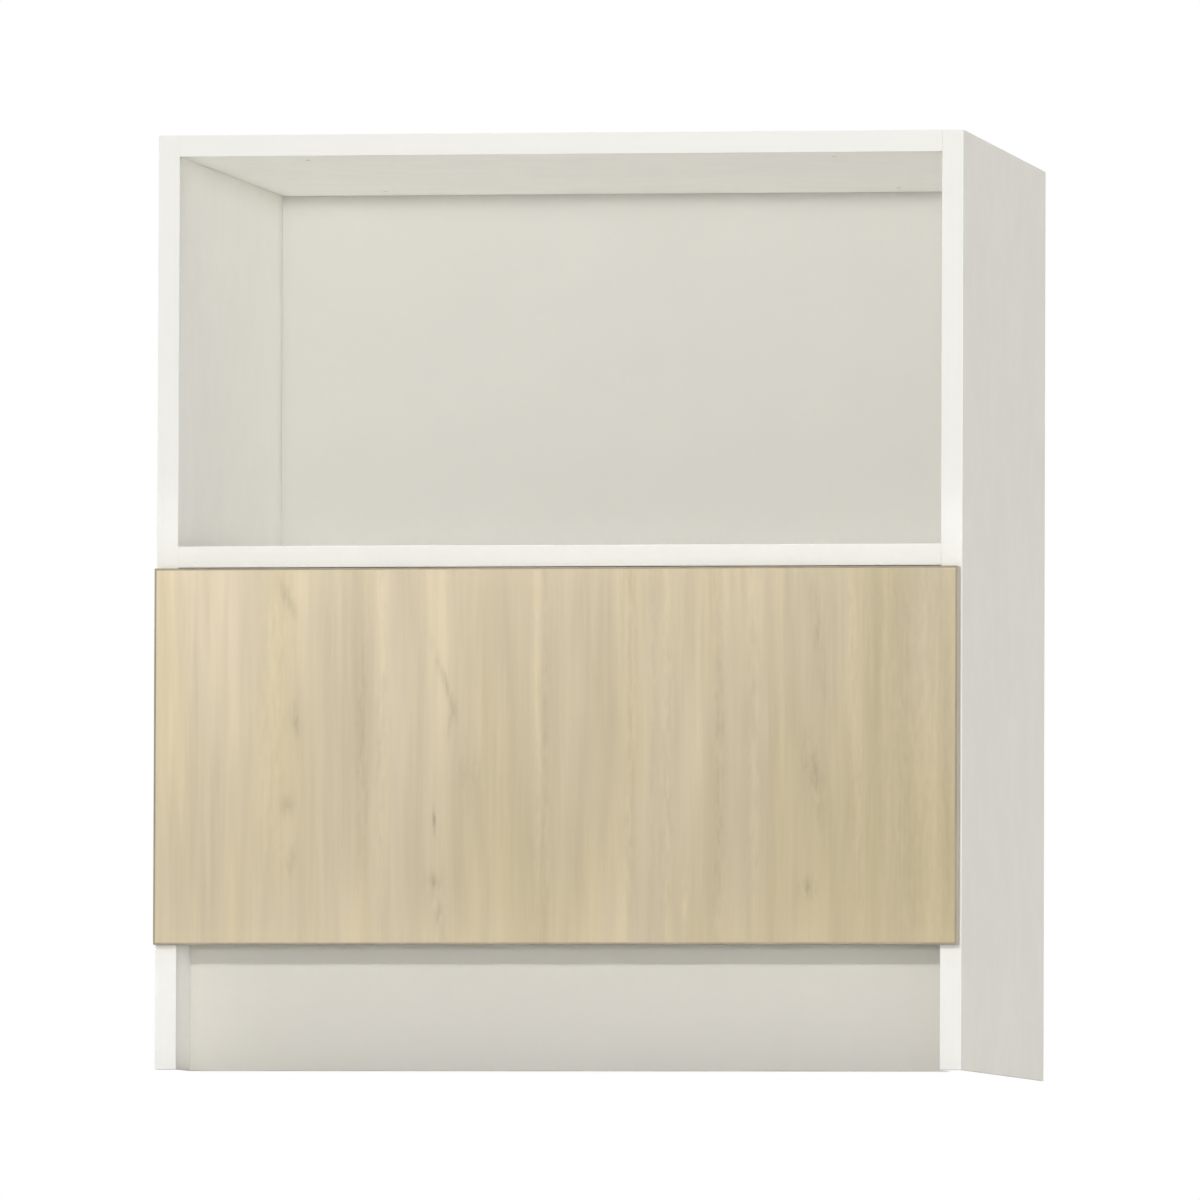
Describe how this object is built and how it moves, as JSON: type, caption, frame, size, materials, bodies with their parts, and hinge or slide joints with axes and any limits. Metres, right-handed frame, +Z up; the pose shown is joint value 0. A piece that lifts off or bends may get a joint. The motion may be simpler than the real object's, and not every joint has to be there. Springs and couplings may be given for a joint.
{
  "type": "microwave base cabinet",
  "caption": "Kitchen base cabinet with an open microwave niche above a deep drawer on full-extension ball-bearing slides, with a recessed toe space.",
  "frame": {"origin": "middle of the footprint, on the floor", "axes": "+Z up, -Y towards the user who opens the drawer, +X to that user's right"},
  "size_m": [0.762, 0.6096, 0.8763],
  "materials": {
    "panel_board": "satin melamine face on chipboard",
    "back_board": "lacquered hardboard",
    "white_edge_band": "smooth satin",
    "front_laminate": "pale wood-grain laminate, upright grain",
    "front_edge_band": "wood-grain edging",
    "drawer_board": "white melamine face on chipboard",
    "beech_dowel": "fluted beech",
    "zinc_steel": "bright zinc plate",
    "cam_zinc": "die-cast zinc",
    "cage_steel": "plain pressed steel",
    "ball_steel": "polished",
    "black_plastic": "moulded",
    "soft_rubber": "matt",
    "clear_bumper": "translucent soft pad"
  },
  "bodies": {
    "carcass": {"left_side_panel": "panel_board", "right_side_panel": "panel_board", "top_panel": "panel_board", "niche_shelf": "panel_board", "bottom_deck": "panel_board", "back_panel": "back_board", "upper_back_rail": "panel_board", "lower_back_rail": "panel_board", "toe_kick_board": "panel_board", "left_side_edge_band": "white_edge_band", "right_side_edge_band": "white_edge_band", "top_edge_band": "white_edge_band", "shelf_edge_band": "white_edge_band", "deck_edge_band": "white_edge_band", "carcass_dowels": "beech_dowel", "cam_locks": "cam_zinc", "cam_bolts": "zinc_steel", "back_panel_screws": "zinc_steel", "left_slide_cabinet_member": "zinc_steel", "right_slide_cabinet_member": "zinc_steel", "slide_rear_stops": "soft_rubber", "cabinet_member_screws": "zinc_steel"},
    "drawer": {"drawer_front": "front_laminate", "drawer_front_edge_bands": "front_edge_band", "drawer_bumpers": "clear_bumper", "drawer_left_side": "drawer_board", "drawer_right_side": "drawer_board", "drawer_inner_front": "drawer_board", "drawer_back": "drawer_board", "drawer_bottom": "drawer_board", "drawer_box_dowels": "beech_dowel", "drawer_front_screws": "zinc_steel", "left_slide_drawer_member": "zinc_steel", "right_slide_drawer_member": "zinc_steel", "release_lever_pins": "zinc_steel", "drawer_member_screws": "zinc_steel"},
    "left_slide_middle": {"left_slide_middle_member": "zinc_steel"},
    "left_outer_cage": {"left_outer_ball_cage": "cage_steel", "left_outer_balls": "ball_steel"},
    "left_inner_cage": {"left_inner_ball_cage": "cage_steel", "left_inner_balls": "ball_steel"},
    "left_lever": {"left_release_lever": "black_plastic"},
    "right_slide_middle": {"right_slide_middle_member": "zinc_steel"},
    "right_outer_cage": {"right_outer_ball_cage": "cage_steel", "right_outer_balls": "ball_steel"},
    "right_inner_cage": {"right_inner_ball_cage": "cage_steel", "right_inner_balls": "ball_steel"},
    "right_lever": {"right_release_lever": "black_plastic"}
  },
  "joints": [
    {"name": "drawer_slide", "type": "slide", "parent": "carcass", "child": "drawer", "axis": [0, -1, 0], "range_m": [0, 0.54]},
    {"name": "left_slide_middle_slide", "type": "slide", "parent": "carcass", "child": "left_slide_middle", "axis": [0, -1, 0], "range_m": [0, 0.27]},
    {"name": "left_outer_cage_slide", "type": "slide", "parent": "carcass", "child": "left_outer_cage", "axis": [0, -1, 0], "range_m": [0, 0.135]},
    {"name": "left_inner_cage_slide", "type": "slide", "parent": "carcass", "child": "left_inner_cage", "axis": [0, -1, 0], "range_m": [0, 0.405]},
    {"name": "left_lever_pivot", "type": "hinge", "parent": "drawer", "child": "left_lever", "pos_m": [-0.3514, -0.1308, 0.23], "axis": [1, 0, 0], "range_deg": [0, 6], "stiffness_Nm_per_rad": 0.02, "springref_deg": -5.73},
    {"name": "right_slide_middle_slide", "type": "slide", "parent": "carcass", "child": "right_slide_middle", "axis": [0, -1, 0], "range_m": [0, 0.27]},
    {"name": "right_outer_cage_slide", "type": "slide", "parent": "carcass", "child": "right_outer_cage", "axis": [0, -1, 0], "range_m": [0, 0.135]},
    {"name": "right_inner_cage_slide", "type": "slide", "parent": "carcass", "child": "right_inner_cage", "axis": [0, -1, 0], "range_m": [0, 0.405]},
    {"name": "right_lever_pivot", "type": "hinge", "parent": "drawer", "child": "right_lever", "pos_m": [0.3514, -0.1308, 0.23], "axis": [1, 0, 0], "range_deg": [0, 6], "stiffness_Nm_per_rad": 0.02, "springref_deg": -5.73}
  ],
  "couplings": [
    {"joint": "left_slide_middle_slide", "follows": "drawer_slide", "ratio": 0.5},
    {"joint": "left_outer_cage_slide", "follows": "drawer_slide", "ratio": 0.25},
    {"joint": "left_inner_cage_slide", "follows": "drawer_slide", "ratio": 0.75},
    {"joint": "right_slide_middle_slide", "follows": "drawer_slide", "ratio": 0.5},
    {"joint": "right_outer_cage_slide", "follows": "drawer_slide", "ratio": 0.25},
    {"joint": "right_inner_cage_slide", "follows": "drawer_slide", "ratio": 0.75}
  ]
}
